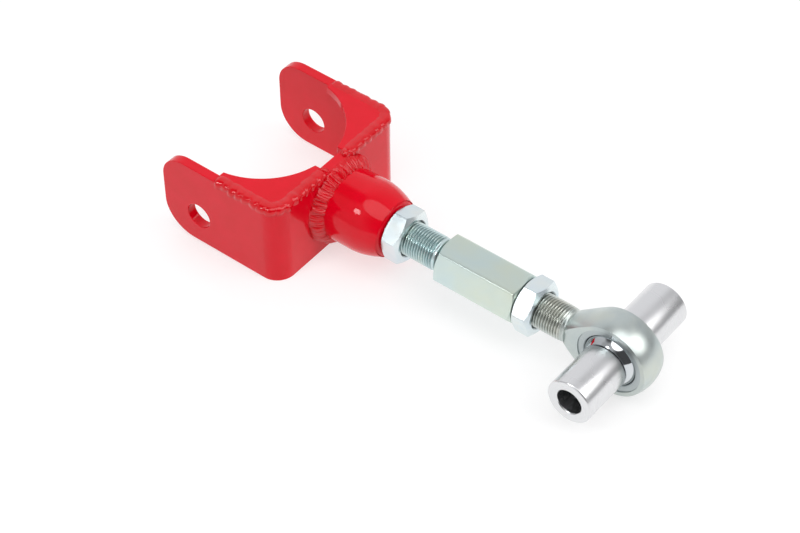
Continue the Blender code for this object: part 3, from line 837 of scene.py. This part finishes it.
def make_adjuster():
    start, end = HEX_START, ADJUSTER[1]
    faces = (HEX_STUD_FACE, HEX_NUT_FACE)
    floor_station = end - SLEEVE_DEPTH
    sleeve = hexagon(
        "sleeve", HEX_FLATS, HEX_EDGE, (start, end), HEX_TURN, faces,
        BORE_RADIUS, SLEEVE_LEAD, floor_station,
    )
    nodes = ["hex_adjuster"]
    add_piece("adjuster_sleeve", sleeve, WALL, "adjuster", nodes, HEX_ZINC, SHARP_HEXAGON)
    stud = thread("stud", STUD_START, THREAD_END, hand=1, plain_start=ADJUSTER[0], runout=PITCH)
    undercut = [
        (COLLAR_START, 0.0),
        (COLLAR_START, COLLAR_RADIUS),
        (STUD_END, COLLAR_RADIUS),
        (STUD_END + UNDERCUT_SHOULDER, UNDERCUT_RADIUS),
        (UNDERCUT_END, UNDERCUT_RADIUS),
        (UNDERCUT_END, 0.0),
    ]
    neck = lathe("neck", softened(undercut, UNDERCUT_ROUND, False), "X", closed=False)
    mesh = joined("stud_and_neck", [stud, neck])
    add_piece("adjuster_stud", mesh, WALL, "adjuster", nodes, STUD_ZINC, SHARP_THREAD)


make_nut("bung_nut", BUNG_NUT, BUNG_NUT_TURN, "bung_nut", "bung_jam_nut")
make_nut("rod_end_nut", ROD_END_NUT, ROD_END_NUT_TURN, "rod_end_nut", "rod_end_jam_nut")
make_adjuster()


# ---- rod end ------------------------------------------------------------------------------------------


NECK_SHOULDER = 0.0009
NECK_ROUND = 0.0005
SHANK_CAP = (SHANK_END - 0.0006, THREAD_RADIUS - 0.0006)
SHANK_HIDDEN = 0.018  # plain length inside the sleeve
SHANK_RUNOUT = 2.2 * PITCH
SLAB_START = FLARE_START[0] - 0.0004
FAR = 0.04  # past the head on every side
NECK_BACK = -0.06  # past the neck, so that the slab's faces don't cut it
NECK_HALF_WIDTH = 0.03
BORE_REACH = 0.02
HEAD_EDGE_ROUND = 0.0003


def make_rod_end():
    """The head and its flare are turned about the arm's axis, cut to two flat faces and bored across."""
    distance = hypot(*FLARE_START)
    tangent = atan2(FLARE_START[1], FLARE_START[0]) - acos(HEAD_RADIUS / distance)
    head = [(s, max(r, 0.0)) for s, r in arc((0.0, 0.0), HEAD_RADIUS, 0.0, tangent, count=56)]
    flare = [
        FLARE_START,
        (FLARE_START[0] - NECK_SHOULDER, NECK_RADIUS),
        (SHANK_END + NECK_SHOULDER, NECK_RADIUS),
        (SHANK_END, THREAD_RADIUS - 0.0003),
        SHANK_CAP,
        (SHANK_CAP[0], 0.0),
    ]
    profile = head + softened([head[-1]] + flare, NECK_ROUND, False)[1:]
    turned = lathe("head", profile, "X", closed=False)
    width = HEAD_HALF_WIDTH
    head_side = [(SLAB_START, -FAR), (FAR, -FAR), (FAR, FAR), (SLAB_START, FAR)]
    slab = prism("faces", head_side, -width, width, "XZ")
    neck_side = [(NECK_BACK, -FAR), (FLARE_START[0], -FAR), (FLARE_START[0], FAR), (NECK_BACK, FAR)]
    neck_room = prism("neck_room", neck_side, -NECK_HALF_WIDTH, NECK_HALF_WIDTH, "XZ")
    both = cut(slab, [("UNION", neck_room)])
    bore_line = arc((0, 0), HEAD_BORE, 0, 2 * pi, ROUND)[:-1]
    bore = prism("head_bore", bore_line, -BORE_REACH, BORE_REACH, "XZ")
    mesh = cut(turned, [("INTERSECT", both), ("DIFFERENCE", bore)])
    nodes = ["rod_end_body"]
    body = add_piece("rod_end_head", mesh, BALL, "rod_end", nodes, BODY_ZINC, SHARP_TURNED)
    round_edges(body, HEAD_EDGE_ROUND, segments=4, angle=38)
    start = SHANK_START + SHANK_HIDDEN
    shank = thread("shank", start, SHANK_END, hand=-1, plain_start=SHANK_START, runout=SHANK_RUNOUT)
    add_piece("rod_end_shank", shank, BALL, "rod_end", nodes, SHANK_ZINC, SHARP_THREAD)


RACE_FIT = 0.0001  # past the CAD's outer radius, into the head
RACE_EDGE = 0.0005
RACE_LIP = 0.0004
RACE_ROUND = 0.0002
RACE_STEPS = 24


def seat(radius, station):
    """A point of a profile round the Y axis on a sphere."""
    return (station, sqrt(radius**2 - station**2))


def make_race():
    width = RACE_HIGH.y
    outer = RACE_HIGH.z - BALL.z + RACE_FIT
    edge = width - RACE_EDGE
    inner = [seat(RACE_SEAT, edge * (1 - 2 * i / RACE_STEPS)) for i in range(RACE_STEPS + 1)]
    lip = inner[0][1] + RACE_LIP
    corners = softened([(-width, lip), (-width, outer), (width, outer), (width, lip)], RACE_ROUND, False)
    mesh = lathe("race", inner + corners, "Y")
    add_piece("race", mesh, BALL, "rod_end", ["bearing_race"], RACE_STEEL, SHARP_TURNED)


BALL_STEPS = 48
BALL_LEAD = 0.0006
BALL_ROUND = 0.0002


def make_ball():
    half = atan2(BALL_HALF_WIDTH, sqrt(BALL_RADIUS**2 - BALL_HALF_WIDTH**2))
    angles = [half - 2 * half * i / BALL_STEPS for i in range(BALL_STEPS + 1)]
    outside = [(BALL_RADIUS * sin(a), BALL_RADIUS * cos(a)) for a in angles]
    inside = [
        (-BALL_HALF_WIDTH, BALL_BORE + BALL_LEAD),
        (-BALL_HALF_WIDTH + BALL_LEAD, BALL_BORE),
        (BALL_HALF_WIDTH - BALL_LEAD, BALL_BORE),
        (BALL_HALF_WIDTH, BALL_BORE + BALL_LEAD),
    ]
    mesh = lathe("bearing_ball", outside + softened(inside, BALL_ROUND, False), "Y")
    add_piece("bearing_ball", mesh, BALL, "bearing_ball", ["ball"], CHROME, SHARP_TURNED)


SPACER_INNER_END = 0.001
SPACER_SHOULDER = BALL_HALF_WIDTH + 0.0003
SPACER_SHOULDER_EDGE = 0.0010
SPACER_EDGE = 0.0005
SPACER_ROUND = 0.00015


def make_spacer(name, side, node):
    """A sleeve on one side of the ball, with a thinner shank inside the ball's bore."""
    outline = [
        (SPACER_INNER_END, SPACER_BORE),
        (SPACER_INNER_END, SPACER_SHANK),
        (SPACER_SHOULDER, SPACER_SHANK),
        (SPACER_SHOULDER, SPACER_RADIUS - SPACER_SHOULDER_EDGE),
        (SPACER_SHOULDER + SPACER_SHOULDER_EDGE, SPACER_RADIUS),
        (SPACER_END - SPACER_EDGE, SPACER_RADIUS),
        (SPACER_END, SPACER_RADIUS - SPACER_EDGE),
        (SPACER_END, SPACER_BORE + SPACER_EDGE),
        (SPACER_END - SPACER_EDGE, SPACER_BORE),
    ]
    profile = [(side * s, r) for s, r in softened(outline, SPACER_ROUND, steps=3)]
    mesh = lathe(name, profile, "Y")
    add_piece(name, mesh, BALL, "spacers", [node], ALUMINIUM, SHARP_TURNED)


make_rod_end()
make_race()
make_ball()
make_spacer("sleeve_left", 1, "spacer_left")
make_spacer("sleeve_right", -1, "spacer_right")
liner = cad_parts["race_liner"]
liner.data.materials.clear()
liner.data.materials.append(LINER)


# ---- floor, light and camera --------------------------------------------------------------------------


FLOOR_HALF_SIZE = 6.0
FLOOR_GAP = 0.0002
FLOOR_GREY = 0.40
FLOOR_GLOW = 0.62  # stands in for a ground that is overexposed to white


def make_floor():
    """The arm lies on the fork's back edge and on the rod end's head, so its floor slopes a little."""
    head_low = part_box("rod_end_body")[0].z
    slope = atan2(head_low - FORK_LOW.z, BALL.x - WALL.x)
    half = FLOOR_HALF_SIZE
    mesh = bpy.data.meshes.new("floor")
    corners = [(-half, -half, 0), (half, -half, 0), (half, half, 0), (-half, half, 0)]
    mesh.from_pydata(corners, [], [(0, 1, 2, 3)])
    thing = new_object("floor", mesh, (WALL.x, 0.0, FORK_LOW.z - FLOOR_GAP))
    thing.rotation_euler = (0.0, -slope, 0.0)
    shader = Shader("light_table", (FLOOR_GREY, FLOOR_GREY, FLOOR_GREY), metallic=0.0, roughness=0.6)
    shader.set(shader.surface, "Emission Color", (1.0, 1.0, 1.0, 1.0))
    shader.set(shader.surface, "Emission Strength", FLOOR_GLOW)
    stops = [(0.3, (0.39, 0.39, 0.39)), (0.7, (0.41, 0.41, 0.41))]
    color = shader.ramp(shader.noise(scale=3.0, detail=2.0), stops)
    mesh.materials.append(shader.finish(color))


def toward(azimuth, elevation):
    """The direction at an azimuth from +Y round towards +X and an elevation, both in degrees."""
    level = cos(radians(elevation))
    return Vector((sin(radians(azimuth)) * level, cos(radians(azimuth)) * level, sin(radians(elevation))))


def add_softbox(name, azimuth, elevation, distance, size, radiance, color):
    """A round softbox that faces the arm. Its power follows from how bright its face is."""
    data = bpy.data.lights.new(name, "AREA")
    data.shape = "DISK"
    data.size = size
    data.energy = radiance * pi * pi * (size / 2) ** 2
    data.color = color
    thing = bpy.data.objects.new(name, data)
    thing.location = toward(azimuth, elevation) * distance
    thing.rotation_euler = (-thing.location).to_track_quat("-Z", "Y").to_euler()
    bpy.context.scene.collection.objects.link(thing)


# (height, brightness): the height runs from the room's middle, 0, up to straight overhead, 1
SKY = [(0.0, 0.50), (0.25, 0.60), (0.5, 0.62), (0.85, 0.62), (1.0, 0.50)]
# patches of the room: (azimuth, elevation, edge and core as cosines, brightness)
ROOM = [
    (62, 10, 0.72, 0.94, 0.30),
    (-50, 28, 0.64, 0.92, 0.90),
    (-142, 40, 0.93, 0.99, 0.45),
    (-110, 63, 0.93, 0.99, 0.12),
    (130, 22, 0.60, 0.90, 0.08),
]
COOL = 1.02  # blue against red and green


def make_world():
    """A pale room: one brighter patch, and darker ones that the glossy pieces mirror."""
    world = bpy.data.worlds.new("studio")
    bpy.context.scene.world = world
    world.use_nodes = True
    tree = world.node_tree

    def add(kind, **settings):
        node = tree.nodes.new(kind)
        for key, value in settings.items():
            setattr(node, key, value)
        return node

    place = add("ShaderNodeTexCoord").outputs["Generated"]
    split = add("ShaderNodeSeparateXYZ")
    tree.links.new(place, split.inputs["Vector"])
    ramp = add("ShaderNodeValToRGB")
    tree.links.new(split.outputs["Z"], ramp.inputs["Fac"])
    elements = ramp.color_ramp.elements
    while len(elements) < len(SKY):
        elements.new(0.5)
    for element, (height, value) in zip(elements, SKY):
        element.position = height
        element.color = (value, value, value * COOL, 1)
    color = ramp.outputs["Color"]
    for azimuth, elevation, start, end, value in ROOM:
        dot = add("ShaderNodeVectorMath", operation="DOT_PRODUCT")
        dot.inputs[1].default_value = toward(azimuth, elevation)
        tree.links.new(place, dot.inputs[0])
        share = add("ShaderNodeMapRange", interpolation_type="SMOOTHSTEP")
        share.inputs["From Min"].default_value = start
        share.inputs["From Max"].default_value = end
        tree.links.new(dot.outputs["Value"], share.inputs["Value"])
        mix = add("ShaderNodeMix", data_type="RGBA")
        mix.inputs["B"].default_value = (value, value, value * COOL, 1)
        tree.links.new(share.outputs["Result"], mix.inputs["Factor"])
        tree.links.new(color, mix.inputs["A"])
        color = mix.outputs["Result"]
    tree.links.new(color, tree.nodes["Background"].inputs["Color"])
    tree.nodes["Background"].inputs["Strength"].default_value = 1.0


CAMERA_AIM = Vector((-0.0047, -0.0199, 0.0261))
CAMERA_DISTANCE = 1.2378
CAMERA_AZIMUTH = radians(38.68)
CAMERA_ELEVATION = radians(45.58)
CAMERA_ROLL = radians(-0.57)
CAMERA_LENS = 109.2
CAMERA_SENSOR = 36.0
CAMERA_CLIP_START = 0.05


def make_camera():
    """The camera that was fitted to the photograph: an aim point, a distance, three angles and a lens."""
    level = cos(CAMERA_ELEVATION)
    back = Vector((sin(CAMERA_AZIMUTH) * level, -cos(CAMERA_AZIMUTH) * level, sin(CAMERA_ELEVATION)))
    data = bpy.data.cameras.new("camera")
    data.lens = CAMERA_LENS
    data.sensor_width = CAMERA_SENSOR
    data.clip_start = CAMERA_CLIP_START
    thing = bpy.data.objects.new("camera", data)
    thing.location = CAMERA_AIM + back * CAMERA_DISTANCE
    look = (-back).to_track_quat("-Z", "Y").to_matrix() @ Matrix.Rotation(CAMERA_ROLL, 3, "Z")
    thing.rotation_euler = look.to_euler()
    bpy.context.scene.collection.objects.link(thing)
    bpy.context.scene.camera = thing


make_floor()
make_world()
WHITE = (1.0, 1.0, 1.0)
WARM_WHITE = (1.0, 0.99, 0.98)
COOL_WHITE = (0.98, 0.99, 1.0)
add_softbox("key", azimuth=74, elevation=42, distance=1.6, size=1.2, radiance=2.4, color=WARM_WHITE)
add_softbox("overhead", azimuth=141, elevation=72, distance=1.6, size=1.4, radiance=1.9, color=WHITE)
add_softbox("fill", azimuth=-160, elevation=42, distance=1.6, size=0.36, radiance=12.5, color=COOL_WHITE)
make_camera()
bpy.context.scene.view_settings.view_transform = "Standard"
